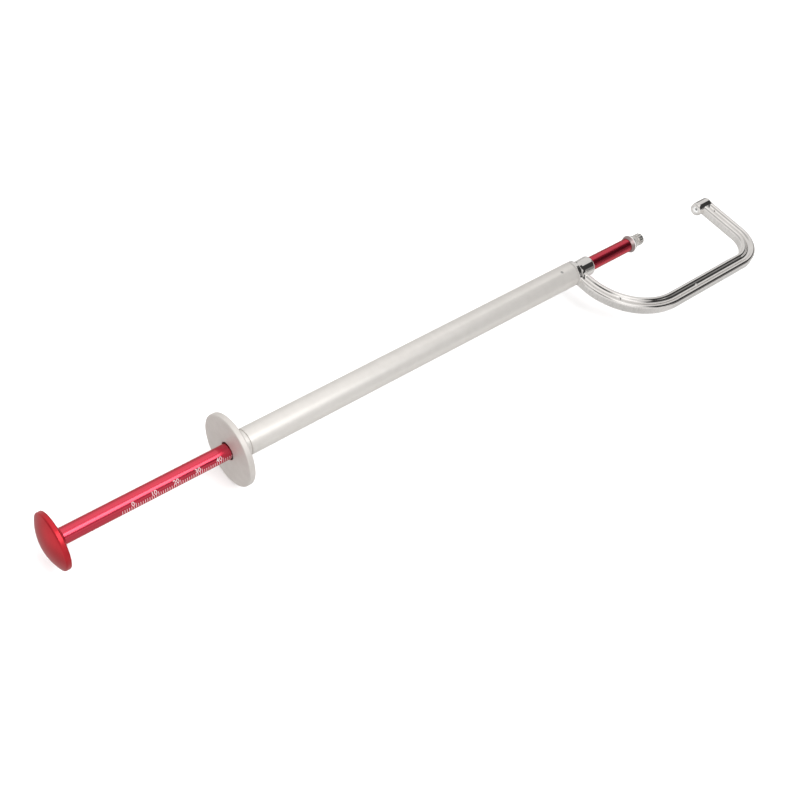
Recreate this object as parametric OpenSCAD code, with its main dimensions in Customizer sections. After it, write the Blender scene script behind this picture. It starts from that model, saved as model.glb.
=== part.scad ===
// Brake disc gauge: a thumb-pushed plunger in a straight barrel, with a C-shaped frame at the far end.
// Millimetres. +X runs along the plunger, from the thumb knob to the anvil. The C-frame lies in the XY plane
// with its back on the -Y side, and +Z is up. The origin is the centre of the anvil's contact face, which is
// the zero of the measurement. The gauge is drawn fully open, as its spring leaves it.

/* [Measuring] */
// Opening between the contact tip and the anvil with the plunger fully back
gap = 44; // [40:0.5:48]
// Distance from the anvil's contact face back to the index face of the finger flange
index_to_anvil = 295.6; // [290:0.2:305]

/* [Rod and knob] */
// Rod diameter
rod_d = 7; // [6.8:0.1:7.2]
// Rod length showing between the knob and the index face, fully open
rod_shown = 74; // [64:1:84]
// Thumb knob diameter
knob_d = 24.6; // [20:0.2:30]
// Thickness of the thumb knob's rim
knob_rim = 2.6; // [2:0.1:4]
// Height of the thumb knob's dome
knob_dome = 3.0; // [2:0.1:4]

/* [Barrel] */
// Outside diameter of the barrel tube
barrel_d = 12; // [12:0.1:12.6]
// Bore of the barrel tube
barrel_bore = 10; // [9.9:0.05:10.1]
// Distance from the index face to the barrel's far end
barrel_end = 200.6; // [190:0.2:210]
// Finger flange diameter
flange_d = 32.8; // [28:0.2:38]
// Finger flange thickness
flange_t = 2.7; // [2.4:0.1:4]
// Diameter of the hole in the finger flange's front wall
flange_hole_d = 8.2; // [7.8:0.1:9.4]

/* [C-frame] */
// Depth of the throat, from the plunger's axis to the middle of the back bar
throat = 38.2; // [34:0.2:44]
// Width of the bar, in the plane of the C
bar_w = 7.6; // [7.2:0.1:7.8]
// Thickness of the bar, across the plane of the C
bar_t = 5.6; // [5.4:0.1:6.2]
// Depth of the groove along both faces of the bar
groove_d = 1.1; // [0.6:0.1:1.3]
// Distance from the crest of each rail beside the groove to the bar's side
rail = 1.25; // [1.05:0.05:1.4]
// Middle radius of the large bend beside the barrel
bend_near = 33.5; // [28:0.5:33.5]
// Middle radius of the small bend beside the anvil
bend_far = 13.8; // [11:0.2:15]
// Diameter of the anvil boss
boss_d = 7; // [6.6:0.1:7.4]

/* [Contact tip] */
// Diameter of the ferrule behind the tip
ferrule_d = 9.2; // [8.6:0.1:10]
// Diameter of the knurled end that meets the disc
tip_end_d = 6.2; // [5.6:0.1:6.6]

/* [Hidden] */
$fn = 96;

rod_r = rod_d / 2;
barrel_r = barrel_d / 2;
bore_r = barrel_bore / 2;
travel = gap;                        // the plunger stops when the tip meets the anvil
tip_end_x = index_to_anvil - gap;    // contact plane of the tip, from the index face
touch = 0.02;                        // gap left between faces that only rest on each other

// stations along the axis, measured from the index face
pocket_x = 1.3;                      // the barrel seats here inside the flange
neck_r = barrel_r - 0.4;             // the barrel's end is turned down to seat there
neck_b = flange_t + 5.9;
wiper_a = 2.2;                       // rear wiper ring
wiper_b = 5.9;
bush_b = 20;                         // far end of the rear guide bush
buffer_b = 23.8;                     // far end of the rubber stop buffer
ring_a = buffer_b + touch;           // retaining ring on the rod
ring_b = ring_a + 0.9;
washer_b = ring_b + 1;               // far side of the washer that the spring pushes
spigot_a = barrel_end - 16.6;        // near end of the frame's spigot, inside the barrel
seat_a = spigot_a - 0.8;             // washer that the spring stands on
pin_x = barrel_end - 8.6;            // guide pin
collar_x = barrel_end + 2.2;         // end of the frame's collar
shoulder_x = barrel_end + 5;         // end of its rounded shoulder
nose_x = barrel_end + 12.8;          // end of its nose
ferrule_a = tip_end_x - 10.2;        // ferrule behind the tip
ferrule_b = ferrule_a + 2.6;
rod_end = ferrule_a + 1.6;
last_x = index_to_anvil + 7.1;       // where the middle line of the leg that carries the anvil meets the axis
boss_end = last_x + bar_w / 2 + 0.3;

// radii
bush_seat_r = 4.1;                   // bore of the frame for its bush and wiper
running = 0.03;                      // radial clearance of the rod in its bushes
nose_r = 4.8;
pin_r = 0.75;
stud_r = 2;

// path of the C's bar, in the XY plane
lean = 4.5;                          // lean of the first leg away from square
leg_x = barrel_end + 2.5;            // where the first leg's middle line meets the axis
corner_x = leg_x + throat * tan(lean);
near_c = [round(100 * (corner_x + bend_near * tan((90 - lean) / 2))) / 100, -throat + bend_near];
leg_len = bend_near * sin(lean) - near_c[1] - 3;      // from the large bend to inside the hub
lean_far = 3.5;                      // lean of the last leg away from square
far_c = [round(100 * (last_x - (bend_far + (bend_far - throat) * sin(lean_far)) / cos(lean_far))) / 100, -throat + bend_far];
last_len = -(far_c[1] + bend_far * sin(lean_far)) / cos(lean_far) - 1.15;      // from the small bend to inside the boss

// coil spring
wire_r = 0.45;
coil_r = 4.25;
coil_turns = 33;
coil_step = 12;                      // rings a turn
coil_side = 6;                       // sides of the wire

// moves a piece from the index face's frame to the anvil's
module place() { translate([-index_to_anvil, 0, 0]) children(); }

// a solid of revolution about X from points [x, r]
module turned(points) { rotate([90, 0, 90]) rotate_extrude() polygon([for (p = points) [p[1], p[0]]]); }

// a disc or cylinder about X
module rod_x(x0, x1, r) { translate([x0, 0, 0]) rotate([0, 90, 0]) cylinder(h = x1 - x0, r = r); }

// a ring about X
module ring_x(x0, x1, r_out, r_in) {
    difference() {
        rod_x(x0, x1, r_out);
        rod_x(x0 - 1, x1 + 1, r_in);
    }
}

// points of a quarter round from angle a0 to a1 about [x, r]
function rounding(x, r, rad, a0, a1, n = 6) = [for (i = [0:n]) [x + rad * cos(a0 + (a1 - a0) * i / n), r + rad * sin(a0 + (a1 - a0) * i / n)]];

// ---- C-frame ----

// a quarter of the bar's section, as [across, up] points: a rounded edge, a rail's crest and half a round groove
function bar_quarter(sx, sy, more) = let (w = bar_w / 2 + more, t = bar_t / 2 + more, e = rail, h = w - e, a = 2 * atan(groove_d / h),
        ra = 0.46 * h / sin(a), rb = 0.54 * h / sin(a))
    [for (p = concat([[w, 0]], [for (i = [0:4]) [w - e + e * cos(90 * i / 4), t - e + e * sin(90 * i / 4)]],
                     [for (i = [1:4]) [h + ra * cos(90 + a * i / 4), t - ra + ra * sin(90 + a * i / 4)]],
                     [for (i = [1:4]) let (b = a - a * i / 4 - 90) [rb * cos(b), t - groove_d + rb + rb * sin(b)]])) [sx * p[0], sy * p[1]]];
function flip(list) = [for (i = [len(list) - 1:-1:0]) list[i]];
module bar_section(more = 0) {
    polygon(concat(bar_quarter(1, 1, more), flip(bar_quarter(-1, 1, more)), bar_quarter(-1, -1, more), flip(bar_quarter(1, -1, more))));
}

// a straight length of bar that ends at point b and comes from direction dir
module bar_run(b, dir, length) {
    translate([b[0], b[1], 0]) rotate([0, 0, dir]) rotate([90, 0, 90]) linear_extrude(length) bar_section();
}

// a bend of the bar about point c
module bar_bend(c, r, from, to) {
    translate([c[0], c[1], 0]) rotate_extrude(angle = to - from, start = from) translate([r, 0]) bar_section();
}

module c_frame() color([0.80, 0.80, 0.82]) place() difference() {
    union() {
        // spigot inside the barrel, collar, rounded shoulder and nose
        turned(concat([[spigot_a, 0], [spigot_a, bore_r - 0.41], [spigot_a + 0.4, bore_r - 0.01], [barrel_end, bore_r - 0.01], [barrel_end, barrel_r - 0.15],
                       [barrel_end + 0.15, barrel_r]],
                      rounding(collar_x, barrel_r - 1.2, 1.2, 90, 0), [[shoulder_x - 1.6, nose_r + 0.05], [shoulder_x, nose_r]],
                      rounding(nose_x - 0.9, nose_r - 0.9, 0.9, 90, 0), [[nose_x, 0]]));
        // leg, large bend, back, small bend and leg of the C
        difference() {
            translate([near_c[0], near_c[1], 0]) rotate([0, 0, 180 + lean]) translate([bend_near, 0.05, 0]) rotate([90, 0, 0])
                linear_extrude(leg_len) bar_section(0.01);
            translate([barrel_end - 9, -15, -9]) cube([9, 30, 18]);
        }
        bar_bend(near_c, bend_near, 180 + lean, 270);
        bar_run([near_c[0], -throat], 0, far_c[0] - near_c[0]);
        bar_bend(far_c, bend_far, 270, 360 + lean_far);
        translate([far_c[0], far_c[1], 0]) rotate([0, 0, lean_far]) translate([bend_far, -0.05, 0]) rotate([-90, 0, 0])
            linear_extrude(last_len) bar_section(0.01);
        // anvil boss, and its blend into the leg
        turned(concat([[index_to_anvil, 0], [index_to_anvil, boss_d / 2 - 1]], rounding(index_to_anvil + 0.85, boss_d / 2 - 1, 0.85, 180, 90),
                      [[index_to_anvil + 4, boss_d / 2]], rounding(boss_end - 1.6, boss_d / 2 - 1.7, 1.6, 90, 0), [[boss_end, 0]]));
        // small round marks in the groove
        for (p = [[leg_x + 7.4, -24.8], [corner_x + 47.8, -throat], [last_x + 6.4 * tan(lean_far), -6.4]], s = [-1, 1])
            translate([p[0], p[1], s * (bar_t / 2 - groove_d)]) cylinder(h = 0.6, d = 1, center = true, $fn = 24);
    }
    // bore for the guide bush and the wiper, and the lip that holds them
    rod_x(spigot_a - 1, nose_x - 1.6, bush_seat_r);
    rod_x(nose_x - 2, nose_x + 1, rod_r + 0.12);
    // guide pin
    translate([pin_x, 0, 0]) cylinder(h = 9, r = pin_r);
    // seat of the anvil insert
    rod_x(index_to_anvil - 1, index_to_anvil + 6, 1.9);
}

module anvil_insert() color([0.78, 0.78, 0.76]) place()
    turned([[index_to_anvil + 0.35, 0.45], [index_to_anvil + 0.32, 1.35], [index_to_anvil + 0.06, 1.7], [index_to_anvil + 0.05, 1.9],
            [index_to_anvil + 5.98, 1.9], [index_to_anvil + 5.98, 0], [index_to_anvil + 1.3, 0], [index_to_anvil + 1.1, 0.45]]);

module front_guide_bush() color([0.72, 0.58, 0.30]) place() difference() {
    ring_x(spigot_a + 0.4, nose_x - 6.2, bush_seat_r, rod_r + running);
    translate([pin_x, 0, 0]) cylinder(h = 9, r = pin_r);
}

module front_wiper_ring() color([0.08, 0.08, 0.08]) place() ring_x(nose_x - 6.1, nose_x - 1.65, bush_seat_r, rod_r + 0.05);

// holds the spigot in the barrel, and its end runs in the rod's slot, so the scale stays on one side
module guide_pin() color([0.35, 0.35, 0.36]) place() translate([pin_x, 0, rod_r - 1.05]) {
    cylinder(h = barrel_r - 0.12 - (rod_r - 1.05), r = pin_r, $fn = 32);
}

// ---- barrel ----

module barrel_tube() color([0.82, 0.82, 0.80]) place() difference() {
    turned([[pocket_x, bore_r], [pocket_x, neck_r], [neck_b, neck_r], [neck_b, barrel_r - 0.15], [neck_b + 0.15, barrel_r], [barrel_end - 0.15, barrel_r], [barrel_end, barrel_r - 0.15], [barrel_end, bore_r]]);
    translate([pin_x, 0, 0]) cylinder(h = 9, r = pin_r);
}

module finger_flange() color([0.78, 0.76, 0.73]) place() difference() {
    turned(concat([[0, 0]], [[0, flange_d / 2 - 0.5]], rounding(0.5, flange_d / 2 - 0.5, 0.5, 180, 90), rounding(flange_t - 0.5, flange_d / 2 - 0.5, 0.5, 90, 0),
                  [[flange_t, 0]]));
    rod_x(-1, flange_t + 1, flange_hole_d / 2);
    rod_x(pocket_x, flange_t + 1, neck_r);
    // broken front edge of the hole
    turned([[-0.01, 0], [-0.01, flange_hole_d / 2 + 0.16], [0.15, flange_hole_d / 2], [0.15, 0]]);
}

module rear_wiper_ring() color([0.06, 0.06, 0.06]) place() ring_x(wiper_a, wiper_b, bore_r, rod_r + 0.05);

module rear_guide_bush() color([0.72, 0.58, 0.30]) place() difference() {
    turned([[wiper_b + 0.05, 0], [wiper_b + 0.05, bore_r - 0.3], [wiper_b + 0.35, bore_r], [bush_b - 0.3, bore_r], [bush_b, bore_r - 0.3], [bush_b, 0]]);
    rod_x(0, bush_b + 1, rod_r + running);
}

module stop_buffer() color([0.10, 0.10, 0.10]) place() ring_x(bush_b, buffer_b, bore_r - 0.1, rod_r + 0.2);

module front_spring_washer() color([0.60, 0.60, 0.62]) place() ring_x(seat_a, spigot_a, bore_r - 0.1, rod_r + 0.2);

// ---- plunger ----

module measuring_rod() color([0.78, 0.13, 0.20]) place() difference() {
    turned([[-rod_shown - 1.5, 0], [-rod_shown - 1.5, rod_r - 0.25], [-rod_shown - 1.25, rod_r], [rod_end - 0.25, rod_r], [rod_end, rod_r - 0.25], [rod_end, 0]]);
    // tapped ends
    rod_x(-rod_shown - 2, -rod_shown + 8.5, stud_r);
    rod_x(rod_end - 9.5, rod_end + 1, stud_r);
    // groove of the retaining ring
    ring_x(ring_a - 0.02, ring_b + 0.02, rod_r + 1, rod_r - 0.6);
    // slot that the guide pin runs in
    for (x = [pin_x - travel - 0.3, pin_x + 0.3]) translate([x, 0, rod_r - 1.2]) cylinder(h = 3, r = pin_r + 0.05);
    translate([pin_x - travel - 0.3, -pin_r - 0.05, rod_r - 1.2]) cube([travel + 0.6, 2 * pin_r + 0.1, 3]);
}

knob_r = knob_d / 2;
knob_back = -rod_shown;              // where the knob's back meets the rod
knob_edge_b = knob_back - 2.4;       // back edge of the rim
knob_edge_a = knob_edge_b - knob_rim;
dome_r = (pow(knob_r - 0.7, 2) + pow(knob_dome, 2)) / (2 * knob_dome);
dome_a = asin((knob_r - 0.7) / dome_r);

module thumb_knob() color([0.72, 0.16, 0.20]) place() difference() {
    turned(concat([for (i = [0:10]) [knob_edge_a - knob_dome + dome_r * (1 - cos(dome_a * i / 10)), dome_r * sin(dome_a * i / 10)]],
                  rounding(knob_edge_a + 0.75, knob_r - 0.8, 0.8, 150, 90), rounding(knob_edge_b - 0.6, knob_r - 0.6, 0.6, 90, 20),
                  [[knob_edge_b + 0.45, knob_r - 2.4], [knob_edge_b + 1.1, knob_r - 4.9], [knob_back - 0.35, rod_r + 1.2], [knob_back, rod_r + 0.12], [knob_back, 0]]));
    // socket for the rod and hole for the stud
    rod_x(-rod_shown - 1.5, 0, rod_r);
    rod_x(-rod_shown - 5.5, 0, stud_r);
}

module knob_stud() color([0.55, 0.55, 0.57]) place()
    turned([[-rod_shown - 5.3, 0], [-rod_shown - 5.3, stud_r - 0.4], [-rod_shown - 4.9, stud_r], [-rod_shown + 7.6, stud_r], [-rod_shown + 8, stud_r - 0.4],
            [-rod_shown + 8, 0]]);

// open ring that snaps into the rod's groove
module retaining_ring() color([0.50, 0.50, 0.52]) place() difference() {
    ring_x(ring_a, ring_b, bore_r - 0.35, rod_r - 0.58);
    translate([ring_a - 1, -1.2, -bore_r]) cube([ring_b - ring_a + 2, 2.4, bore_r]);
}

module rear_spring_washer() color([0.60, 0.60, 0.62]) place() ring_x(ring_b, washer_b, bore_r - 0.12, rod_r + 0.02);

// coil spring between the two washers, with a closed turn at each end
function coil_x(u) = let (a = washer_b + wire_r + 0.01, b = seat_a - wire_r - 0.01, c = 2 * wire_r + 0.03)
    u <= 1.5 ? a + c * u : u >= coil_turns - 1.5 ? b - c * (coil_turns - u) : a + 1.5 * c + (b - a - 3 * c) * (u - 1.5) / (coil_turns - 3);
module return_spring() color([0.65, 0.65, 0.67]) place() {
    n = coil_turns * coil_step;
    points = [for (i = [0:n]) let (a = 360 * i / coil_step)
        for (j = [0:coil_side - 1]) let (b = 360 * j / coil_side, r = coil_r + wire_r * cos(b))
            [coil_x(i / coil_step) + wire_r * sin(b), r * cos(a), r * sin(a)]];
    faces = concat([[for (j = [0:coil_side - 1]) j]],
        [for (i = [0:n - 1], j = [0:coil_side - 1]) let (k = (j + 1) % coil_side)
            [i * coil_side + k, i * coil_side + j, (i + 1) * coil_side + j, (i + 1) * coil_side + k]],
        [[for (j = [coil_side - 1:-1:0]) n * coil_side + j]]);
    polyhedron(points, faces, convexity = 10);
}

module tip_ferrule() color([0.70, 0.69, 0.66]) place() difference() {
    turned(concat([[ferrule_a, 0], [ferrule_a, ferrule_d / 2 - 0.35], [ferrule_a + 0.3, ferrule_d / 2 - 0.08]],
                  rounding(ferrule_b - 0.4, ferrule_d / 2 - 0.4, 0.4, 90, 0), [[ferrule_b, 0]]));
    rod_x(ferrule_a - 1, rod_end, rod_r);
    rod_x(ferrule_a, ferrule_b + 1, stud_r);
}

module tip_stud() color([0.55, 0.55, 0.57]) place()
    turned([[rod_end - 9, 0], [rod_end - 9, stud_r - 0.4], [rod_end - 8.6, stud_r], [ferrule_b + 3.4, stud_r], [ferrule_b + 3.8, stud_r - 0.4],
            [ferrule_b + 3.8, 0]]);

module contact_tip() color([0.66, 0.66, 0.64]) place() difference() {
    turned([[ferrule_b, 0], [ferrule_b, ferrule_d / 2 - 0.5], [ferrule_b + 0.5, ferrule_d / 2 - 0.3], [tip_end_x - 3.2, tip_end_d / 2 - 0.05],
            [tip_end_x - 3.0, tip_end_d / 2], [tip_end_x - 0.35, tip_end_d / 2], [tip_end_x, tip_end_d / 2 - 0.35], [tip_end_x, 0]]);
    rod_x(ferrule_b - 1, ferrule_b + 4, stud_r);
}

c_frame();
anvil_insert();
front_guide_bush();
front_wiper_ring();
guide_pin();
barrel_tube();
front_spring_washer();
rear_guide_bush();
rear_wiper_ring();
stop_buffer();
finger_flange();
measuring_rod();
thumb_knob();
knob_stud();
retaining_ring();
rear_spring_washer();
return_spring();
tip_ferrule();
tip_stud();
contact_tip();
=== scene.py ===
import math

import bmesh
import bpy
import numpy as np
from mathutils import Matrix, Vector


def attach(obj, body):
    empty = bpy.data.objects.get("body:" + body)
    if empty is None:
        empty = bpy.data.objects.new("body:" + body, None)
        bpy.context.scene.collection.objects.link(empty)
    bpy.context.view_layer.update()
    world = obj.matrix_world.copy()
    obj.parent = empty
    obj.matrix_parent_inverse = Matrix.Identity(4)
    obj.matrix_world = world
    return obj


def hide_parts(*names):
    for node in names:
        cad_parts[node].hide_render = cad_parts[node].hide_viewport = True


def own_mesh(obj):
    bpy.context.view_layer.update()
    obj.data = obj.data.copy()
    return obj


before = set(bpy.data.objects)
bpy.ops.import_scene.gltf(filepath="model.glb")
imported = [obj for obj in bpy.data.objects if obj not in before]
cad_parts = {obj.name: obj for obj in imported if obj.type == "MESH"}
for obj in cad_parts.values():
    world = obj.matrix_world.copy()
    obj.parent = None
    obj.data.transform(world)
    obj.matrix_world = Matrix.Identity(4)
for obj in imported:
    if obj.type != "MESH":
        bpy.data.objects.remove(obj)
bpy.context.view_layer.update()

MM = 0.001
XO = 295.6          # distance from the index face (x = 0 below) to the origin at the anvil's contact face, mm
scene = bpy.context.scene


# ------------------------------------------------------------------------------------------------ meshes

def make_object(name, verts, faces, body, mat, normals=None, loop_normals=None, sharp=None):
    """verts in mm from the index face -> an object in metres, riding on its body"""
    v = (np.asarray(verts, float) - (XO, 0, 0)) * MM
    me = bpy.data.meshes.new(name)
    me.from_pydata(v.tolist(), [], faces)
    me.validate()
    me.update()
    if normals is not None:
        me.shade_smooth()
        me.normals_split_custom_set_from_vertices([tuple(n) for n in normals])
    elif loop_normals is not None:
        me.shade_smooth()
        me.normals_split_custom_set(loop_normals)
    elif sharp is not None:
        me.shade_smooth()
        me.set_sharp_from_angle(angle=math.radians(sharp))
    ob = bpy.data.objects.new(name, me)
    scene.collection.objects.link(ob)
    me.materials.append(mat)
    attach(ob, body)
    return ob


def arc(cx, cr, rad, a0, a1, n=8):
    """points of an arc in the (x, r) plane"""
    return [(cx + rad * math.cos(math.radians(a0 + (a1 - a0) * i / n)), cr + rad * math.sin(math.radians(a0 + (a1 - a0) * i / n)))
            for i in range(n + 1)]


def lathe(name, prof, body, mat, n=192, closed=False, radius=None):
    """solid of revolution about X from points (x, r); its corners are sharp or smooth by the angle between their sides.
    radius(x, r, angle) may change a point's radius, for a knurl."""
    p = [tuple(map(float, q)) for q in prof]
    p = [q for i, q in enumerate(p) if i == 0 or math.dist(q, p[i - 1]) > 1e-6]
    if closed and math.dist(p[0], p[-1]) < 1e-6:
        p.pop()
    m = len(p)
    segs = [(i, (i + 1) % m) for i in range(m if closed else m - 1)]
    area = sum(p[i][0] * p[j][1] - p[j][0] * p[i][1] for i, j in [(k, (k + 1) % m) for k in range(m)])
    side = 1.0 if area < 0 else -1.0
    length = [math.dist(p[i], p[j]) for i, j in segs]
    nrm = []
    for (i, j), ln in zip(segs, length):
        tx, tr = (p[j][0] - p[i][0]) / ln, (p[j][1] - p[i][1]) / ln
        nrm.append((-tr * side, tx * side))
    def corner(a, b):
        """normals at the end of side a and the start of side b"""
        d = nrm[a][0] * nrm[b][0] + nrm[a][1] * nrm[b][1]
        if d < math.cos(math.radians(32)):
            return nrm[a], nrm[b]
        if length[a] > 2.5 * length[b]:
            q = nrm[a]
        elif length[b] > 2.5 * length[a]:
            q = nrm[b]
        else:
            q = (nrm[a][0] + nrm[b][0], nrm[a][1] + nrm[b][1])
        ln = math.hypot(*q)
        q = (q[0] / ln, q[1] / ln)
        return q, q
    ns = [list(v) for v in [(q, q) for q in nrm]]
    k = len(segs)
    for a in range(k if closed else k - 1):
        b = (a + 1) % k
        ns[a][1], ns[b][0] = corner(a, b)
    verts, ring = [], []
    ca = [math.cos(2 * math.pi * t / n) for t in range(n)]
    sa = [math.sin(2 * math.pi * t / n) for t in range(n)]
    for x, r in p:
        if r < 1e-7:
            ring.append([len(verts)] * n)
            verts.append((x, 0, 0))
        else:
            ring.append(list(range(len(verts), len(verts) + n)))
            for t in range(n):
                rr = radius(x, r, 2 * math.pi * t / n) if radius else r
                verts.append((x, rr * ca[t], rr * sa[t]))
    faces, loops = [], []
    for s, (i, j) in enumerate(segs):
        if p[i][1] < 1e-7 and p[j][1] < 1e-7:
            continue
        (ax, ar), (bx, br) = ns[s]
        for t in range(n):
            u = (t + 1) % n
            quad = [(ring[i][t], ax, ar, t), (ring[j][t], bx, br, t), (ring[j][u], bx, br, u), (ring[i][u], ax, ar, u)]
            if p[i][1] < 1e-7:
                quad.pop(3)
            if p[j][1] < 1e-7:
                quad.pop(2)
            if side > 0:
                quad.reverse()
            faces.append([q[0] for q in quad])
            loops += [(q[1], q[2] * ca[q[3]], q[2] * sa[q[3]]) for q in quad]
    if radius:
        return make_object(name, verts, faces, body, mat, sharp=40)
    return make_object(name, verts, faces, body, mat, loop_normals=loops)


# ---- distance field of the C-frame casting, mm from the index face ----

BAR_W, BAR_T = 7.0, 5.6
DEPTH, RAIL = 1.1, 1.25          # groove depth; distance of a rail's crest from the bar's side
CREST = BAR_W / 2 - RAIL
SLOPE = 2 * math.atan(DEPTH / CREST)
R_RAIL = 0.46 * CREST / math.sin(SLOPE)
R_GROOVE = 0.54 * CREST / math.sin(SLOPE)
LEG = math.radians(4.5)
LEAN2 = math.radians(3.5)
BEND1, BEND2, BACK = 33.5, 13.8, 38.2
LEG_X = 203.1
CORNER = LEG_X + BACK * math.tan(LEG)
C1 = (CORNER + BEND1 * math.tan((math.pi / 2 - LEG) / 2), -BACK + BEND1)
LAST_X = 302.7
C2 = (LAST_X - (BEND2 + (BEND2 - BACK) * math.sin(LEAN2)) / math.cos(LEAN2), -BACK + BEND2)
T2 = (C2[0] + BEND2 * math.cos(LEAN2), C2[1] + BEND2 * math.sin(LEAN2))
T1 = (C1[0] - BEND1 * math.cos(LEG), C1[1] - BEND1 * math.sin(LEG))
S1 = math.hypot(T1[0] - LEG_X, T1[1])
S2 = S1 + BEND1 * (math.pi / 2 - LEG)
S3 = S2 + C2[0] - C1[0]
S4 = S3 + BEND2 * (math.pi / 2 + LEAN2)
S5 = S4 - T2[1] / math.cos(LEAN2)


def step(t, a, b):
    u = np.clip((t - a) / (b - a), 0, 1)
    return u * u * (3 - 2 * u)


def smin(a, b, k):
    h = np.maximum(k - np.abs(a - b), 0) / k
    return np.minimum(a, b) - h * h * k / 4


def smax(a, b, k):
    return -smin(-a, -b, k)


def path(x, y):
    """(offset towards the inside of the C, distance along it) of the bar's middle line"""
    off = np.full(x.shape, 99.0)
    s = np.zeros(x.shape)
    def take(o, t, ok):
        m = ok & (np.abs(o) < np.abs(off))
        off[m] = o[m]
        s[m] = t[m]
    dx, dy = math.sin(LEG), -math.cos(LEG)
    t = (x - LEG_X) * dx + y * dy
    take(dx * y - dy * (x - LEG_X), t, (t <= S1))
    a = np.arctan2(y - C1[1], x - C1[0])
    a = np.where(a < 0, a + 2 * math.pi, a)
    take(BEND1 - np.hypot(x - C1[0], y - C1[1]), S1 + BEND1 * (a - math.pi - LEG), (a >= math.pi + LEG) & (a <= 1.5 * math.pi))
    take(y + BACK, S2 + x - C1[0], (x >= C1[0]) & (x <= C2[0]) & (y < 0))
    a = np.arctan2(y - C2[1], x - C2[0])
    a = np.where(a < math.pi / 2, a + 2 * math.pi, a)
    take(BEND2 - np.hypot(x - C2[0], y - C2[1]), S3 + BEND2 * (a - 1.5 * math.pi), (a >= 1.5 * math.pi) & (a <= 2 * math.pi + LEAN2))
    ux, uy = math.cos(LEAN2), math.sin(LEAN2)
    t = (y - T2[1]) * ux - (x - T2[0]) * uy
    take(-(x - T2[0]) * ux - (y - T2[1]) * uy, S4 + t, (t >= 0) & (x > C2[0]))
    return off, s


def poly(px, pr, pts):
    """signed distance to a closed polygon in the (x, r) plane"""
    d = np.full(px.shape, 1e9)
    inside = np.zeros(px.shape, bool)
    n = len(pts)
    for i in range(n):
        (ax, ay), (bx, by) = pts[i], pts[(i + 1) % n]
        ex, ey = bx - ax, by - ay
        if math.hypot(ex, ey) < 1e-6:
            continue
        wx, wy = px - ax, pr - ay
        t = np.clip((wx * ex + wy * ey) / (ex * ex + ey * ey), 0, 1)
        d = np.minimum(d, (wx - t * ex) ** 2 + (wy - t * ey) ** 2)
        c = (ay <= pr) != (by <= pr)
        if ey:
            inside ^= c & (px < ax + (pr - ay) * ex / ey)
    return np.where(inside, -1, 1) * np.sqrt(d)


END = 200.6
HUB = [(END - 16.6, -1), (END - 16.6, 4.99), (END, 4.99), (END, 5.62)] + arc(END + 0.35, 5.65, 0.35, 180, 90, 4) + arc(END + 2.0, 4.9, 1.1, 90, 12, 6) + \
      [(END + 3.6, 4.76), (END + 4.4, 4.62), (END + 5.2, 4.58), (END + 11.4, 4.86)] + arc(END + 11.65, 3.76, 1.12, 88, 0, 8) + [(END + 12.8, 3.3), (END + 12.8, -1)]
BOSS = [(295.6, -1), (295.6, 2.5)] + arc(296.35, 2.5, 0.75, 180, 110, 6) + [(296.45, 3.3), (297.2, 3.44), (300.0, 3.5)] + arc(304.55, 1.68, 1.87, 88, 0, 10) + [(306.42, -1)]


def field(x, y, z):
    off, s = path(x, y)
    az = np.abs(z)
    # the bar: a box with rounded edges; near the hub its outer edge is blunter
    last = step(s, 110, 124)
    more = np.where(off > 0, 0.3 * step(s, 4, 10) * (1 - step(s, 36, 48)), 0) + np.where(off > 0, 0.3, 0.27) * last
    rc = np.where(off < 0, RAIL + 0.5 * (1 - step(s, 9, 15)), RAIL) + more * (1 - 0.6 * last)
    qx, qz = np.abs(off) - (BAR_W / 2 + more - rc), az - (BAR_T / 2 - rc)
    bar = np.hypot(np.maximum(qx, 0), np.maximum(qz, 0)) + np.minimum(np.maximum(qx, qz), 0) - rc
    bar = np.maximum(bar, np.maximum(s - S5, -s))
    # the wave-shaped groove along both faces, with a round end beside the hub
    g0 = 7.0
    a = np.where(s < g0, np.hypot(off, s - g0), np.abs(off))
    a1 = np.minimum(a, CREST)
    bottom = R_GROOVE * math.sin(SLOPE)
    dip = np.where(a1 < bottom, DEPTH - R_GROOVE + np.sqrt(np.maximum(R_GROOVE ** 2 - a1 ** 2, 1e-9)),
                   R_RAIL - np.sqrt(np.maximum(R_RAIL ** 2 - (CREST - a1) ** 2, 1e-9)))
    rise = np.where(a1 < bottom, a1 / np.sqrt(np.maximum(R_GROOVE ** 2 - a1 ** 2, 0.01)), (CREST - a1) / np.sqrt(np.maximum(R_RAIL ** 2 - (CREST - a1) ** 2, 0.01)))
    bar = np.maximum(bar, (az - (BAR_T / 2 - dip)) / np.sqrt(1 + rise ** 2))
    # small round marks left in the groove
    for sx, sy in ((210.5, -24.8), (253.8, -38.2), (303.1, -6.4)):
        nub = np.sqrt((x - sx) ** 2 + (y - sy) ** 2 + ((az - (BAR_T / 2 - DEPTH)) * 1.2) ** 2) - 0.55
        bar = smin(bar, nub, 0.2)
    r = np.hypot(y, z)
    hub = poly(x, r, HUB)
    boss = poly(x, r, BOSS)
    # the part of the bar beside the barrel is cut back to the collar's face
    bar = smax(bar, END + 0.05 - x, 0.3)
    f = smin(bar, hub, 0.7)
    f = np.where(x < END + 0.001, np.maximum(hub, -99), f)
    f = smin(f, boss, 0.4)
    # bore with its lip, and the seat of the insert
    bore = r - np.where(x < END + 11.2, 4.1, 3.62)
    bore = np.maximum(bore, x - (END + 20))
    f = smax(f, -bore, 0.12)
    seat = np.maximum(r - 1.9, np.abs(x - 298.1) - 3.5)
    f = smax(f, -seat, 0.15)
    pin = np.maximum(np.hypot(x - (END - 8.6), y) - 0.75, -z)
    return np.maximum(f, -pin)


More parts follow.
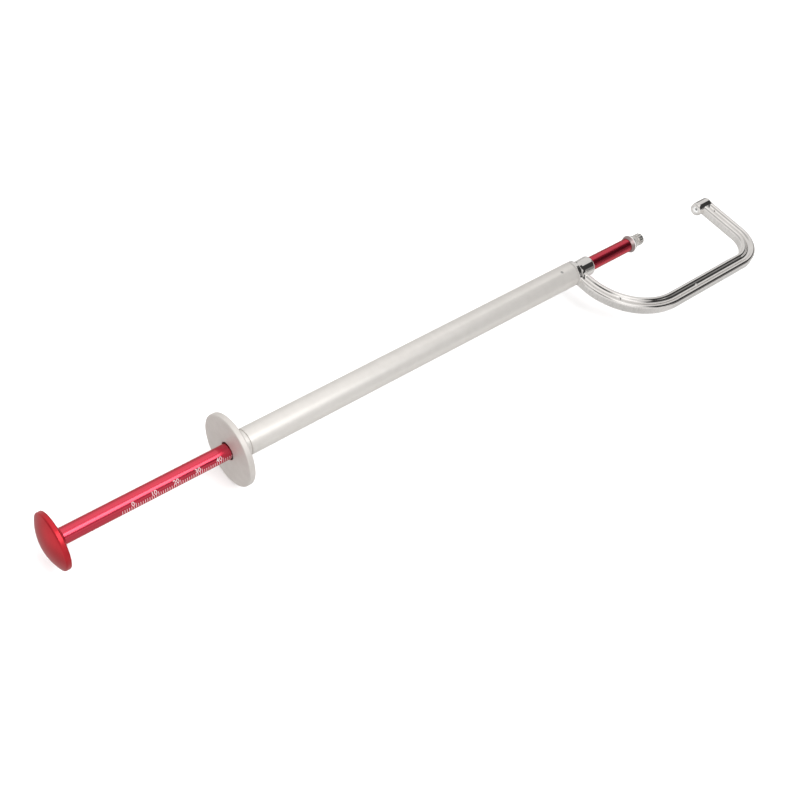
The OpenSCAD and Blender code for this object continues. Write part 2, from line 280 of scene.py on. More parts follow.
def surface(fn, lo, hi, h):
    """closed quad mesh of fn = 0 by surface nets, its points pulled onto the surface, with exact normals"""
    ax = [np.arange(a, b + h, h) for a, b in zip(lo, hi)]
    n = [len(a) for a in ax]
    k = 5
    nc = [-(-m // k) for m in n]
    cx = [np.array([a[min(i * k + k // 2, len(a) - 1)] for i in range(c)]) for a, c in zip(ax, nc)]
    gx, gy, gz = np.meshgrid(*cx, indexing="ij")
    coarse = fn(gx.ravel(), gy.ravel(), gz.ravel()).reshape(nc)
    near = np.abs(coarse) < h * k * 1.9
    grow = lambda a: a.repeat(k, 0).repeat(k, 1).repeat(k, 2)[:n[0], :n[1], :n[2]]
    F = np.where(grow(coarse) < 0, -9.0, 9.0)
    idx = np.nonzero(grow(near))
    F[idx] = fn(ax[0][idx[0]], ax[1][idx[1]], ax[2][idx[2]])
    inside = F < 0
    shape = [m - 1 for m in n]
    total = shape[0] * shape[1] * shape[2]
    acc = np.zeros((total, 3))
    cnt = np.zeros(total)
    quads = []
    order = {0: [(0, -1, -1), (0, 0, -1), (0, 0, 0), (0, -1, 0)], 1: [(-1, 0, -1), (-1, 0, 0), (0, 0, 0), (0, 0, -1)],
             2: [(-1, -1, 0), (0, -1, 0), (0, 0, 0), (-1, 0, 0)]}
    for d in range(3):
        a = [slice(None)] * 3
        b = [slice(None)] * 3
        a[d], b[d] = slice(0, -1), slice(1, None)
        ia, ib = inside[tuple(a)], inside[tuple(b)]
        e = np.array(np.nonzero(ia != ib)).T
        f0, f1 = F[tuple(a)][tuple(e.T)], F[tuple(b)][tuple(e.T)]
        t = f0 / (f0 - f1)
        pos = np.stack([ax[c][e[:, c]] for c in range(3)], 1)
        pos[:, d] += t * h
        cells = []
        for o in order[d]:
            c = e + np.array(o)
            cid = (c[:, 0] * shape[1] + c[:, 1]) * shape[2] + c[:, 2]
            cells.append(cid)
            cnt += np.bincount(cid, minlength=total)
            for q in range(3):
                acc[:, q] += np.bincount(cid, weights=pos[:, q], minlength=total)
        q = np.stack(cells, 1)
        flip = ~ia[tuple(e.T)]
        q[flip] = q[flip][:, ::-1]
        quads.append(q)
    used = np.nonzero(cnt)[0]
    new = -np.ones(total, int)
    new[used] = np.arange(len(used))
    v = acc[used] / cnt[used][:, None]
    quads = new[np.concatenate(quads)]
    e = 0.004
    def grad(v):
        x, y, z = v.T
        g = np.stack([fn(x + e, y, z) - fn(x - e, y, z), fn(x, y + e, z) - fn(x, y - e, z), fn(x, y, z + e) - fn(x, y, z - e)], 1) / (2 * e)
        return g
    for _ in range(4):
        g = grad(v)
        gg = np.maximum((g * g).sum(1), 0.25)
        move = (fn(*v.T) / gg)[:, None] * g
        ln = np.linalg.norm(move, axis=1, keepdims=True)
        v = v - move * np.minimum(1, 0.3 * h / np.maximum(ln, 1e-9))
    g = grad(v)
    g /= np.maximum(np.linalg.norm(g, axis=1, keepdims=True), 1e-9)
    return v, quads, g


# ------------------------------------------------------------------------------------------------ materials

class Nodes:
    def __init__(self, name):
        self.mat = bpy.data.materials.new(name)
        self.mat.use_nodes = True
        self.t = self.mat.node_tree
        self.bsdf = next(n for n in self.t.nodes if n.type == "BSDF_PRINCIPLED")
        self.pos = self.new("ShaderNodeTexCoord").outputs["Object"]

    def new(self, kind, **props):
        n = self.t.nodes.new(kind)
        for k, v in props.items():
            setattr(n, k, v)
        return n

    def link(self, a, b):
        self.t.links.new(a, b)

    def mapping(self, scale=(1, 1, 1), rot=(0, 0, 0)):
        m = self.new("ShaderNodeMapping")
        m.inputs["Scale"].default_value = scale
        m.inputs["Rotation"].default_value = rot
        self.link(self.pos, m.inputs["Vector"])
        return m.outputs["Vector"]

    def noise(self, scale, detail=2.0, rough=0.5, vec=None, distortion=0.0):
        n = self.new("ShaderNodeTexNoise")
        n.inputs["Scale"].default_value = scale
        n.inputs["Detail"].default_value = detail
        n.inputs["Roughness"].default_value = rough
        n.inputs["Distortion"].default_value = distortion
        self.link(vec or self.pos, n.inputs["Vector"])
        return n.outputs["Fac"]

    def ramp(self, fac, stops, interp="LINEAR"):
        r = self.new("ShaderNodeValToRGB")
        r.color_ramp.interpolation = interp
        el = r.color_ramp.elements
        while len(el) < len(stops):
            el.new(0.5)
        for e, (p, c) in zip(el, stops):
            e.position = p
            e.color = (*c, 1) if len(c) == 3 else c
        self.link(fac, r.inputs["Fac"])
        return r.outputs["Color"]

    def range(self, fac, a, b, lo=0.0, hi=1.0):
        r = self.new("ShaderNodeMapRange")
        for k, v in (("From Min", lo), ("From Max", hi), ("To Min", a), ("To Max", b)):
            r.inputs[k].default_value = v
        self.link(fac, r.inputs["Value"])
        return r.outputs["Result"]

    def math(self, op, a, b=None):
        n = self.new("ShaderNodeMath", operation=op)
        for i, q in enumerate((a, b)):
            if q is None:
                continue
            if isinstance(q, (int, float)):
                n.inputs[i].default_value = q
            else:
                self.link(q, n.inputs[i])
        return n.outputs[0]

    def bump(self, height, strength, distance, normal=None):
        b = self.new("ShaderNodeBump")
        b.inputs["Strength"].default_value = strength
        b.inputs["Distance"].default_value = distance
        self.link(height, b.inputs["Height"])
        if normal is not None:
            self.link(normal, b.inputs["Normal"])
        return b.outputs["Normal"]

    def set(self, **vals):
        names = {"color": "Base Color", "metallic": "Metallic", "roughness": "Roughness", "ior": "IOR", "coat": "Coat Weight",
                 "coat_rough": "Coat Roughness", "coat_ior": "Coat IOR", "spec": "Specular IOR Level", "normal": "Normal",
                 "coat_normal": "Coat Normal", "aniso": "Anisotropic", "sheen": "Sheen Weight", "tint": "Specular Tint"}
        for k, v in vals.items():
            s = self.bsdf.inputs[names[k]]
            if isinstance(v, (int, float)):
                s.default_value = v
            elif isinstance(v, tuple):
                s.default_value = (*v, 1) if len(v) == 3 else v
            else:
                self.link(v, s)
        return self


def chrome():
    m = Nodes("chrome_plate")
    # polished on the faces of the C; the sides keep the grain of the casting under the plating, and their colour is
    # also lighter than the faces' as painted light, standing in for the brighter light the sides catch
    face = m.new("ShaderNodeSeparateXYZ")
    m.link(m.new("ShaderNodeTexCoord").outputs["Normal"], face.inputs[0])
    side = m.range(m.math("ABSOLUTE", face.outputs["Z"]), 1.0, 0.0, 0.30, 0.62)
    peel = m.noise(900, 2, 0.5)
    grain = m.noise(2100, 3, 0.65)
    streak = m.noise(1.0, 4, 0.7, vec=m.mapping((1100, 1100, 420)), distortion=0.6)
    cloud = m.noise(160, 3, 0.55)
    # painted light: the cast side colour runs lighter than the polished faces to stand in for light, on top of the real
    # grain
    cast_grain_and_painted_light = m.ramp(m.math("ADD", m.math("MULTIPLY", grain, 0.5), m.math("MULTIPLY", streak, 0.5)), [(0.36, (0.77, 0.752, 0.735)), (0.5, (0.89, 0.872, 0.855)), (0.62, (0.97, 0.952, 0.935))])
    clean = m.ramp(cloud, [(0.3, (0.77, 0.752, 0.738)), (0.7, (0.85, 0.832, 0.818))])
    mix = m.new("ShaderNodeMix", data_type="RGBA")
    m.link(side, mix.inputs["Factor"])
    m.link(clean, mix.inputs["A"])
    m.link(cast_grain_and_painted_light, mix.inputs["B"])
    n1 = m.bump(peel, 0.12, 0.00006)
    n2 = m.bump(m.math("MULTIPLY", grain, m.range(side, 0.15, 1.0)), 0.35, 0.00004, n1)
    rough = m.math("ADD", m.range(cloud, 0.045, 0.09, 0.3, 0.7), m.math("MULTIPLY", side, 0.24))
    m.set(color=mix.outputs["Result"], metallic=1.0, roughness=rough, normal=n2)
    return m.mat


def blasted(name, lo, hi, rough=0.45, grain=1.0):
    """bead-blasted aluminium, clear anodised"""
    m = Nodes(name)
    beads = m.noise(9000, 2, 0.6)
    wide = m.noise(260, 3, 0.5)
    n = m.bump(beads, 0.35 * grain, 0.00002)
    m.set(color=m.ramp(wide, [(0.25, lo), (0.75, hi)]), metallic=0.72, roughness=m.range(beads, rough - 0.04, rough + 0.05, 0.3, 0.7), normal=n, spec=0.3)
    return m.mat


def red_rod():
    m = Nodes("red_anodised_rod")
    # drawn tube: long faint streaks under a clear glossy oxide
    streak = m.noise(1.0, 3, 0.6, vec=m.mapping((12, 5200, 5200)))
    n = m.bump(streak, 0.10, 0.000006)
    m.set(color=m.ramp(streak, [(0.3, (0.585, 0.024, 0.056)), (0.7, (0.66, 0.031, 0.070))]), metallic=1.0,
          roughness=m.range(streak, 0.20, 0.27, 0.3, 0.7), normal=n, coat=0.85, coat_rough=0.06, coat_ior=1.5, tint=(0.80, 0.14, 0.19))
    return m.mat


def red_knob():
    m = Nodes("red_anodised_knob")
    beads = m.noise(7000, 2, 0.6)
    wide = m.noise(200, 2, 0.5)
    n = m.bump(beads, 0.25, 0.00002)
    m.set(color=m.ramp(wide, [(0.3, (0.55, 0.018, 0.030)), (0.7, (0.61, 0.024, 0.038))]), metallic=1.0,
          roughness=m.range(beads, 0.36, 0.44, 0.3, 0.7), normal=n, coat=0.3, coat_rough=0.3, coat_ior=1.5)
    return m.mat


def turned_metal(name, lo, hi, rough, lines=0.12, pitch=2600, metal=1.0):
    """turned steel or brass: rings about X; also used for the ferrule's painted shade band, its painted highlight edge
    and the anvil insert's face with its painted highlight
    """
    m = Nodes(name)
    rings = m.noise(1.0, 2, 0.6, vec=m.mapping((pitch, 25, 25)))
    n = m.bump(rings, lines, 0.00001)
    wide = m.noise(400, 3, 0.55)
    m.set(color=m.ramp(wide, [(0.3, lo), (0.7, hi)]), metallic=metal, roughness=m.range(rings, rough - 0.05, rough + 0.07, 0.3, 0.7), normal=n)
    return m.mat


def rubber():
    m = Nodes("black_rubber")
    g = m.noise(3500, 3, 0.6)
    m.set(color=m.ramp(g, [(0.3, (0.018, 0.018, 0.018)), (0.7, (0.03, 0.03, 0.03))]), metallic=0.0, roughness=m.range(g, 0.5, 0.65, 0.3, 0.7),
          normal=m.bump(g, 0.3, 0.00002), spec=0.4)
    return m.mat


def paint(name, a, b, rough=0.5):
    m = Nodes(name)
    g = m.noise(6000, 2, 0.6)
    m.set(color=m.ramp(g, [(0.3, a), (0.7, b)]), metallic=0.0, roughness=m.range(g, rough - 0.06, rough + 0.08, 0.3, 0.7),
          normal=m.bump(g, 0.15, 0.000006))
    return m.mat


CHROME = chrome()
BARREL = blasted("blasted_barrel", (0.69, 0.667, 0.640), (0.73, 0.707, 0.680), 0.50)
FLANGE = blasted("blasted_flange", (0.64, 0.607, 0.58), (0.69, 0.657, 0.63), 0.55, 0.7)
ROD = red_rod()
KNOB = red_knob()
NICKEL = turned_metal("dull_nickel", (0.70, 0.68, 0.655), (0.80, 0.78, 0.755), 0.24)
# ground steel whitened and made half diffuse: a painted highlight on the anvil insert's face
GROUND_STEEL_PAINTED_BRIGHT = turned_metal("ground_steel_painted_highlight", (0.92, 0.92, 0.915), (0.96, 0.96, 0.955), 0.30, 0.06, metal=0.3)
# the ferrule's rear flare: a dark red-grey colour that is painted shade and a painted reflection of the red rod
SHADE_AND_REFLECTION_BAND = turned_metal("painted_shade_rod_reflection_band", (0.33, 0.25, 0.25), (0.41, 0.33, 0.325), 0.42)
# near-white, half-diffuse metal for the ferrule's rounded edge: a painted highlight ring
PAINTED_HIGHLIGHT_RING = turned_metal("painted_highlight_edge", (0.92, 0.92, 0.91), (0.96, 0.96, 0.95), 0.24, 0.05, metal=0.4)
STEEL = turned_metal("plain_steel", (0.50, 0.50, 0.50), (0.58, 0.58, 0.58), 0.30)
BRASS = turned_metal("turned_brass", (0.62, 0.44, 0.18), (0.72, 0.53, 0.24), 0.25)
RUBBER = rubber()
# dark for the guide pin's own colour, and as painted shade on the plug in the anvil's centre hole
DARK_PIN_AND_HOLE_SHADE = paint("dark_pin_and_painted_hole_shade", (0.20, 0.20, 0.195), (0.27, 0.27, 0.26), 0.4)
MARK = paint("scale_marks", (0.54, 0.40, 0.41), (0.66, 0.52, 0.53), 0.5)


# ------------------------------------------------------------------------------------------------ pieces

def plain(node, mat):
    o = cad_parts[node]
    o.data.materials.clear()
    o.data.materials.append(mat)


for node, mat in (("front_guide_bush", BRASS), ("rear_guide_bush", BRASS), ("front_wiper_ring", RUBBER), ("rear_wiper_ring", RUBBER),
                  ("stop_buffer", RUBBER), ("guide_pin", DARK_PIN_AND_HOLE_SHADE), ("front_spring_washer", STEEL), ("rear_spring_washer", STEEL),
                  ("retaining_ring", STEEL), ("knob_stud", STEEL), ("tip_stud", STEEL)):
    plain(node, mat)


def post(x, r, z0, z1, n=40):
    """vertical cylinder, mm"""
    return slot_cutter(x, x, r, z0, z1, n)


def slot_cutter(x0, x1, r, z0, z1, n=40):
    """upright solid with rounded ends, from x0 to x1"""
    ring = [(x1 + r * math.cos(t), r * math.sin(t)) for t in [math.pi * (i / (n / 2) - 0.5) for i in range(n // 2 + 1)]]
    ring += [(x0 + r * math.cos(t), r * math.sin(t)) for t in [math.pi * (i / (n / 2) + 0.5) for i in range(n // 2 + 1)]]
    ring = [q for i, q in enumerate(ring) if math.dist(q, ring[i - 1]) > 1e-6]
    k = len(ring)
    me = bpy.data.meshes.new("cutter")
    me.from_pydata([((x - XO) * MM, y * MM, z * MM) for z in (z0, z1) for x, y in ring], [],
                   [list(range(k))[::-1], list(range(k, 2 * k))] + [[i, (i + 1) % k, k + (i + 1) % k, k + i] for i in range(k)])
    return me


def cut(ob, cutter):
    """take the cutter out of a closed mesh"""
    tool = bpy.data.objects.new("cutter", cutter)
    scene.collection.objects.link(tool)
    mod = ob.modifiers.new("cut", "BOOLEAN")
    mod.operation, mod.solver, mod.object = "DIFFERENCE", "EXACT", tool
    bpy.context.view_layer.update()
    me = bpy.data.meshes.new_from_object(ob.evaluated_get(bpy.context.evaluated_depsgraph_get()))
    ob.modifiers.remove(mod)
    bpy.data.objects.remove(tool)
    bm = bmesh.new()
    bm.from_mesh(me)
    bmesh.ops.remove_doubles(bm, verts=bm.verts[:], dist=1e-7)
    bmesh.ops.triangulate(bm, faces=[f for f in bm.faces if len(f.verts) > 4])
    bm.to_mesh(me)
    bm.free()
    if me.attributes.get("custom_normal"):
        me.attributes.remove(me.attributes["custom_normal"])
    me.shade_smooth()
    me.set_sharp_from_angle(angle=math.radians(32))
    ob.data = me


# C-frame
v, q, g = surface(field, (183.4, -42.6, -6.8), (308.6, 6.9, 6.8), 0.26)
c_frame = make_object("c_frame_casting", v, q.tolist(), "frame", CHROME, normals=g)
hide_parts("c_frame")

# anvil insert: a shallow dish with a small centre hole; its ground-steel face is coloured near-white and half diffuse,
# a painted highlight
insert = lathe("anvil_insert_dished", [(298.4, 0), (298.0, 0.70), (296.62, 0.72), (296.50, 0.82), (296.46, 1.40), (296.30, 1.72), (296.26, 1.78), (296.26, 1.84), (296.30, 1.885),
                                       (301.58, 1.885), (301.58, 0)], "frame", GROUND_STEEL_PAINTED_BRIGHT, n=128)
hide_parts("anvil_insert")
# a dark plug set inside the centre hole: painted shade where the hole's depth would be dark
lathe("anvil_hole_painted_shade", [(296.85, 0), (296.85, 0.715), (297.1, 0.715), (297.1, 0)], "frame", DARK_PIN_AND_HOLE_SHADE, n=32)

# barrel
tube = lathe("barrel_sleeve", [(1.3, 5.0), (1.3, 5.6), (8.55, 5.6)] + arc(8.8, 5.75, 0.25, 180, 90, 6) + arc(200.17, 5.92, 0.08, 90, 0, 3) +
             [(200.25, 5.25), (200.6, 5.2), (200.6, 5.0)], "frame", BARREL, n=256, closed=True)
cut(tube, post(END - 8.6, 0.75, 3.0, 8.0))
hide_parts("barrel_tube")

# finger flange
flange = lathe("finger_flange_disc", [(0.16, 4.1), (0.05, 4.17), (0.0, 4.29)] + arc(0.55, 15.85, 0.55, 180, 90, 8) + arc(2.15, 15.85, 0.55, 90, 0, 8) +
               [(2.7, 5.6), (1.3, 5.6), (1.3, 4.1)], "frame", FLANGE, n=256, closed=True)
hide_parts("finger_flange")

# thumb knob
KB = -74.0
KE = KB - 2.4
KA = KE - 2.6
dome_r = (11.6 ** 2 + 3.0 ** 2) / 6.0
# the dome runs into the rim's 0.9 mm rounding without a step
dome_a = math.degrees(math.asin(11.4 / (dome_r - 0.9)))
rim_x = KA - 3.0 + dome_r - math.sqrt((dome_r - 0.9) ** 2 - 11.4 ** 2)
knob = lathe("thumb_knob_cap",
             [(KA - 3.0 + dome_r * (1 - math.cos(math.radians(dome_a * i / 24))), dome_r * math.sin(math.radians(dome_a * i / 24))) for i in range(25)] +
             arc(rim_x, 11.4, 0.9, 180 - dome_a, 90, 10) + arc(KE - 0.5, 11.8, 0.5, 90, 22, 6) +
             [(KE + 0.42, 9.9), (KE + 1.1, 7.4), (KB - 0.35, 4.7), (KB, 3.62), (KB, 3.5), (KB - 1.5, 3.5), (KB - 1.5, 2.0), (KB - 5.5, 2.0), (KB - 5.5, 0)],
             "plunger", KNOB, n=256)
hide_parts("thumb_knob")

# measuring rod, with the slot for the guide pin
FE = 295.6 - 44 - 10.2
rod_end = FE + 1.6
rod_pts = [(-67.0, 0), (-67.0, 2.0), (-75.5, 2.0), (-75.5, 3.25), (-75.25, 3.5), (0, 3.5), (23.8, 3.5), (23.8, 2.9), (24.74, 2.9), (24.74, 3.5), (110, 3.5),
           (rod_end - 0.25, 3.5), (rod_end, 3.25), (rod_end, 2.0), (rod_end - 9.5, 2.0), (rod_end - 9.5, 0)]
rod = lathe("measuring_rod_bar", rod_pts, "plunger", ROD, n=256)
cut(rod, slot_cutter(END - 8.6 - 44.28, END - 8.3, 0.8, 2.3, 5.0))
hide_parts("measuring_rod")

# tip: ferrule and tapered, knurled end
# painted shade and painted reflection of the red rod: the flare's dark red-grey colour
lathe("tip_ferrule_band", [(FE, 3.52), (FE, 3.7), (FE + 0.1, 3.82), (FE + 1.75, 4.4), (FE + 1.75, 3.52)], "plunger", SHADE_AND_REFLECTION_BAND, n=192, closed=True)
# the ferrule's rounded edge carries a painted highlight ring
lathe("tip_ferrule_edge", [(FE + 1.75, 3.52), (FE + 1.75, 4.42)] + arc(FE + 1.92, 4.42, 0.17, 180, 0, 9) + [(FE + 2.09, 3.52)], "plunger", PAINTED_HIGHLIGHT_RING, n=192, closed=True)
ferrule = lathe("tip_ferrule_ring", [(FE + 2.09, 3.52), (FE + 2.09, 4.46), (FE + 2.2, 4.48)] + arc(FE + 2.28, 4.16, 0.32, 96, 0, 7) +
                [(FE + 2.6, 4.16), (FE + 2.6, 2.0), (FE + 1.65, 2.0), (FE + 1.65, 3.52)], "plunger", NICKEL, n=192, closed=True)
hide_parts("tip_ferrule")
TB = FE + 2.6
TE = 295.6 - 44


def knurl(x, r, a):
    if TE - 3.15 < x < TE - 0.3 and r > 2.6:
        t = abs(((a / (2 * math.pi)) * 18) % 1 - 0.5) * 2
        return r - 0.14 * (1 - t) ** 0.8
    return r


tip = lathe("contact_tip_cone", [(TB, 2.0), (TB, 4.06), (TB + 0.12, 4.16), (TB + 0.3, 4.14), (TE - 3.75, 2.86), (TE - 3.4, 2.68), (TE - 3.2, 2.68), (TE - 3.1, 3.02), (TE - 2.6, 3.06),
                                 (TE - 2.0, 3.06), (TE - 1.4, 3.06), (TE - 0.8, 3.06), (TE - 0.34, 3.02), (TE - 0.3, 2.85), (TE - 0.05, 2.65), (TE, 2.5), (TE, 0),
                                 (TB + 4, 0), (TB + 4, 2.0)], "plunger", NICKEL, n=180, closed=False, radius=knurl)
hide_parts("contact_tip")

# return spring: round wire, closed turns at both ends
def spring():
    wire, coil, turns, step_n, sides = 0.45, 4.25, 33, 40, 12
    a, b, c = 25.72 + wire + 0.01, 183.2 - wire - 0.01, 2 * wire + 0.03
    verts, faces = [], []
    n = turns * step_n
    for i in range(n + 1):
        u = i / step_n
        x = a + c * u if u <= 1.5 else b - c * (turns - u) if u >= turns - 1.5 else a + 1.5 * c + (b - a - 3 * c) * (u - 1.5) / (turns - 3)
        ang = 2 * math.pi * u
        for j in range(sides):
            t = 2 * math.pi * j / sides
            r = coil + wire * math.cos(t)
            verts.append((x + wire * math.sin(t), r * math.cos(ang), r * math.sin(ang)))
    faces.append(list(range(sides)))
    for i in range(n):
        for j in range(sides):
            k = (j + 1) % sides
            faces.append([i * sides + k, i * sides + j, (i + 1) * sides + j, (i + 1) * sides + k])
    faces.append([n * sides + j for j in range(sides - 1, -1, -1)])
    return make_object("return_spring_coil", verts, faces, "frame", STEEL, sharp=40)


coil = spring()
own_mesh(coil)
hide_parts("return_spring")

# scale: thin fired-on marks that follow the rod's surface
R0, R1 = 3.495, 3.512


def strip(bm, x0, x1, a0, a1, step_deg=3.0):
    n = max(2, int(abs(a1 - a0) / step_deg))
    rings = []
    for i in range(n + 1):
        a = math.radians(a0 + (a1 - a0) * i / n)
        rings.append([bm.verts.new((((x - XO) * MM), r * math.cos(a) * MM, r * math.sin(a) * MM)) for x, r in ((x0, R0), (x0, R1), (x1, R1), (x1, R0))])
    for i in range(n):
        for j in range(4):
            k = (j + 1) % 4
            bm.faces.new([rings[i][j], rings[i][k], rings[i + 1][k], rings[i + 1][j]])
    bm.faces.new(rings[0])
    bm.faces.new(rings[-1][::-1])


def scale_marks():
    bm = bmesh.new()
    for reading in range(-6, 46):
        x = -44.07 + reading
        long = reading % 10 == 0 and reading >= 0
        strip(bm, x - 0.10, x + 0.10, 144 if long else 155, 187)
    bmesh.ops.recalc_face_normals(bm, faces=bm.faces[:])
    me = bpy.data.meshes.new("scale_lines")
    bm.to_mesh(me)
    bm.free()
    ob = bpy.data.objects.new("scale_lines", me)
    scene.collection.objects.link(ob)
    me.materials.append(MARK)
    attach(ob, "plunger")


def numbers():
    done = bmesh.new()
    for reading in (0, 10, 20, 30, 40):
        cu = bpy.data.curves.new("n", "FONT")
        cu.body = str(reading)
        cu.align_x = "RIGHT"
        cu.size = 2.72
        cu.offset = 0.02
        cu.extrude = 0.5
        cu.resolution_u = 6
        ob = bpy.data.objects.new("n", cu)
        scene.collection.objects.link(ob)
        bpy.context.view_layer.update()
        me = bpy.data.meshes.new_from_object(ob.evaluated_get(bpy.context.evaluated_depsgraph_get()))
        bpy.data.objects.remove(ob)
        bm = bmesh.new()
        bm.from_mesh(me)
        bmesh.ops.remove_doubles(bm, verts=bm.verts[:], dist=1e-4)
        top = max(p.co.y for p in bm.verts)
        for i in range(1, 24):
            bmesh.ops.bisect_plane(bm, geom=bm.verts[:] + bm.edges[:] + bm.faces[:], plane_co=(0, top * i / 24, 0), plane_no=(0, 1, 0))
        height = math.radians(157 - 126) * 3.5
        for p in bm.verts:
            a = math.radians(157) - p.co.y / top * height / 3.5
            r = R1 if p.co.z > 0 else R0
            x = -44.07 + reading - 0.45 + p.co.x
            p.co = Vector(((x - XO) * MM, r * math.cos(a) * MM, r * math.sin(a) * MM))
        bm.to_mesh(me)
        bm.free()
        done.from_mesh(me)
    bmesh.ops.recalc_face_normals(done, faces=done.faces[:])
    me = bpy.data.meshes.new("scale_numbers")
    done.to_mesh(me)
    done.free()
    ob = bpy.data.objects.new("scale_numbers", me)
    scene.collection.objects.link(ob)
    me.materials.append(MARK)
    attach(ob, "plunger")


scale_marks()
numbers()

# ------------------------------------------------------------------------------------------------ stage, light, camera

me = bpy.data.meshes.new("floor")
S = 6.0
Z0 = -16.4 * MM
me.from_pydata([(-S, -S, Z0), (S, -S, Z0), (S, S, Z0), (-S, S, Z0)], [], [(0, 1, 2, 3)])
floor = bpy.data.objects.new("floor", me)
scene.collection.objects.link(floor)
fm = Nodes("pale_floor")
fm.set(color=(0.98, 0.98, 0.98), roughness=0.7, spec=0.15)
me.materials.append(fm.mat)
floor.visible_glossy = False

world = bpy.data.worlds.new("studio")
scene.world = world
world.use_nodes = True
wt = world.node_tree
wt.nodes.clear()


def wmath(op, a, b=None, c=None, clamp=False):
    n = wt.nodes.new("ShaderNodeMath")
    n.operation = op
    n.use_clamp = clamp
    for i, q in enumerate((a, b, c)):
        if q is None:
            continue
        if isinstance(q, (int, float)):
            n.inputs[i].default_value = q
        else:
            wt.links.new(q, n.inputs[i])
    return n.outputs[0]


def wsmooth(v, a, b):
    n = wt.nodes.new("ShaderNodeMapRange")
    n.interpolation_type = "SMOOTHSTEP"
    wt.links.new(v, n.inputs["Value"])
    n.inputs["From Min"].default_value = a
    n.inputs["From Max"].default_value = b
    return n.outputs["Result"]


tc = wt.nodes.new("ShaderNodeTexCoord")
sep = wt.nodes.new("ShaderNodeSeparateXYZ")
wt.links.new(tc.outputs["Generated"], sep.inputs[0])
el = wmath("MULTIPLY", wmath("ARCSINE", sep.outputs["Z"]), 180 / math.pi)
az = wmath("MULTIPLY", wmath("ARCTAN2", sep.outputs["Y"], sep.outputs["X"]), 180 / math.pi)


def patch(a0, a1, e0, e1, soft=3.0):
    """1 inside a window of azimuth and elevation, in degrees"""
    m = wmath("MULTIPLY", wsmooth(az, a0 - soft, a0 + soft), wmath("SUBTRACT", 1.0, wsmooth(az, a1 - soft, a1 + soft)))
    e = wmath("MULTIPLY", wsmooth(el, e0 - soft, e0 + soft), wmath("SUBTRACT", 1.0, wsmooth(el, e1 - soft, e1 + soft)))
    return wmath("MULTIPLY", m, e)


def blend(a, b, t):
    return wmath("ADD", a, wmath("MULTIPLY", wmath("SUBTRACT", b, a), t))


def around(a0, a1):
    """0 to 1 as the direction turns away from +X, by azimuth either way"""
    return wsmooth(wmath("ABSOLUTE", az), a0, a1)


def spot(azimuth, elevation, inner, outer):
    """1 within the inner angle of a direction, 0 beyond the outer one"""
    a, e = math.radians(azimuth), math.radians(elevation)
    n = wt.nodes.new("ShaderNodeVectorMath")
    n.operation = "DOT_PRODUCT"
    wt.links.new(tc.outputs["Generated"], n.inputs[0])
    n.inputs[1].default_value = (math.cos(e) * math.cos(a), math.cos(e) * math.sin(a), math.sin(e))
    return wsmooth(n.outputs["Value"], math.cos(math.radians(outer)), math.cos(math.radians(inner)))


def dim(lum, mask, amount):
    return wmath("MULTIPLY", lum, wmath("SUBTRACT", 1.0, wmath("MULTIPLY", mask, amount)))


# what the metal reflects: a bright ceiling, a paler floor, a dim gap along the horizon, black flags and the dark of the camera
upper = wmath("ADD", 0.79, wmath("MULTIPLY", wsmooth(el, 50, 74), 0.26))
under = wmath("MULTIPLY", around(50, 85), wmath("SUBTRACT", 1.0, wsmooth(el, -44, -26)))
lower = wmath("ADD", blend(0.78, 0.57, under), wmath("MULTIPLY", wmath("MULTIPLY", around(130, 160), wsmooth(el, -44, -16)), 0.35))
lum = blend(lower, upper, wsmooth(el, -14, 0))
gap = wmath("MULTIPLY", wmath("MULTIPLY", wsmooth(el, -15, -5), wmath("SUBTRACT", 1.0, wsmooth(el, 0, 10))), wmath("SUBTRACT", 1.0, around(60, 85)))
lum = dim(lum, gap, 0.38)
lum = dim(lum, patch(-60, -40, -9, 5), 0.6)
lum = dim(lum, patch(34, 47.5, -24, 7), 0.5)
lum = dim(lum, patch(-35, 14, -85, -38), 0.3)
lum = dim(lum, patch(-58, -38, 6, 21), 0.7)
lum = dim(lum, wmath("MAXIMUM", patch(-80, 13.5, 21, 51.5), patch(-80, -10.5, 21, 64)), 0.94)
lum = dim(lum, patch(112, 172, 4, 58, 8.0), 0.3)
lum = dim(lum, spot(-166, 46, 9, 19), 0.85)
bg = wt.nodes.new("ShaderNodeBackground")
wt.links.new(lum, bg.inputs["Strength"])
bg.inputs["Color"].default_value = (1, 0.985, 0.965, 1)
white = wt.nodes.new("ShaderNodeBackground")
white.inputs["Strength"].default_value = 1.6
lp = wt.nodes.new("ShaderNodeLightPath")
mix = wt.nodes.new("ShaderNodeMixShader")
wt.links.new(wmath("MAXIMUM", lp.outputs["Is Camera Ray"], lp.outputs["Is Diffuse Ray"]), mix.inputs["Fac"])
wt.links.new(bg.outputs[0], mix.inputs[1])
wt.links.new(white.outputs[0], mix.inputs[2])
out = wt.nodes.new("ShaderNodeOutputWorld")
wt.links.new(mix.outputs[0], out.inputs["Surface"])


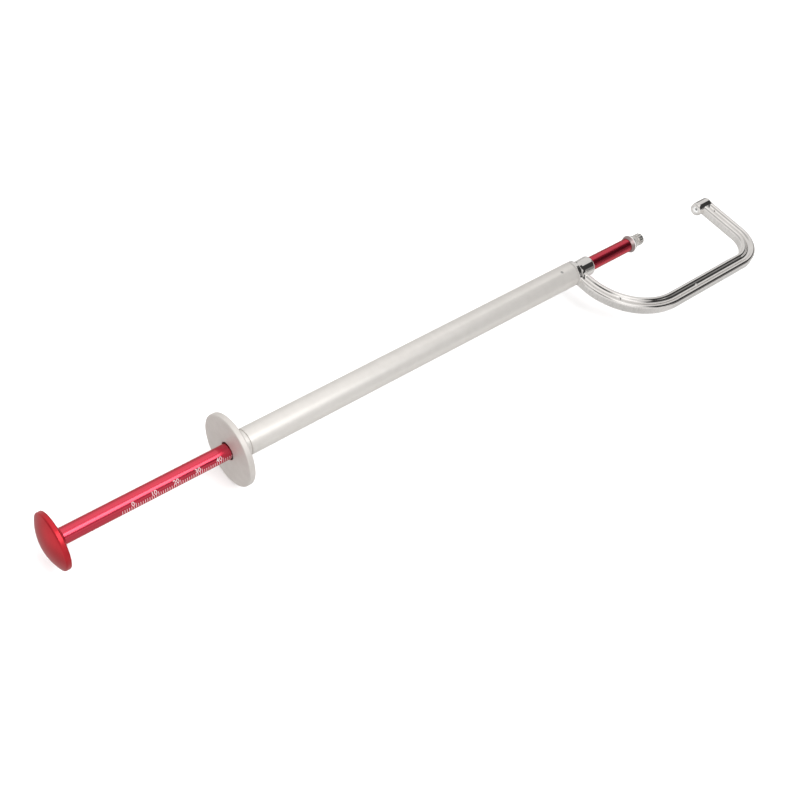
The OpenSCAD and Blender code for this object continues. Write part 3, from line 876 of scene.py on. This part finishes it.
def softbox(name, place, aim, w, h, radiance):
    """rectangular lamp: where it stands and what it faces, in mm from the index face"""
    li = bpy.data.lights.new(name, "AREA")
    li.shape = "RECTANGLE"
    li.size, li.size_y = w, h
    li.energy = radiance * math.pi * w * h
    ob = bpy.data.objects.new(name, li)
    at, to = (Vector(((q[0] - XO) * MM, q[1] * MM, q[2] * MM)) for q in (place, aim))
    ob.location = at
    ob.rotation_euler = (to - at).to_track_quat("-Z", "Y").to_euler()
    ob.visible_camera = False
    scene.collection.objects.link(ob)
    return ob


def flagged(lamp, ob, state):
    """keeps a lamp off one object, or on that object alone, as a flag on a stand would"""
    group = bpy.data.collections.new(lamp.name + "_flag")
    group.objects.link(ob)
    group.collection_objects[0].light_linking.link_state = state
    lamp.light_linking.receiver_collection = group


# the strong lamp would burn white patches into the polished C-frame, so that gets a weak one of its own
flagged(softbox("key_box", (169, -566, 1148), (-60, 0, 0), 0.72, 0.72, 3.75), c_frame, "EXCLUDE")
flagged(softbox("side_box", (40, 200, 260), (-40, 0, 0), 0.30, 0.30, 0.4), c_frame, "EXCLUDE")
flagged(softbox("frame_box", (169, -566, 1148), (-60, 0, 0), 0.75, 0.75, 0.3), c_frame, "INCLUDE")
softbox("low_box", (5, -300, 190), (-60, 0, 0), 0.21, 0.21, 0.4)

cam_data = bpy.data.cameras.new("camera")
cam_data.sensor_width = 36.0
cam_data.lens = 1183.851 * 36.0 / 800
cam_data.clip_start = 0.01
cam_data.clip_end = 50
cam = bpy.data.objects.new("camera", cam_data)
right = Vector((0.76475572, -0.61215842, 0.20102427))
up = Vector((0.41013264, 0.70312003, 0.580873))
back = Vector((-0.49693049, -0.36177933, 0.78878121))
m = Matrix((right, up, back)).transposed().to_4x4()
m.translation = Vector(((-176.292 - XO) * MM, -201.781 * MM, 404.360 * MM))
cam.matrix_world = m
scene.collection.objects.link(cam)
scene.camera = cam

scene.view_settings.view_transform = "Standard"
scene.view_settings.look = "None"
scene.view_settings.exposure = 0.0
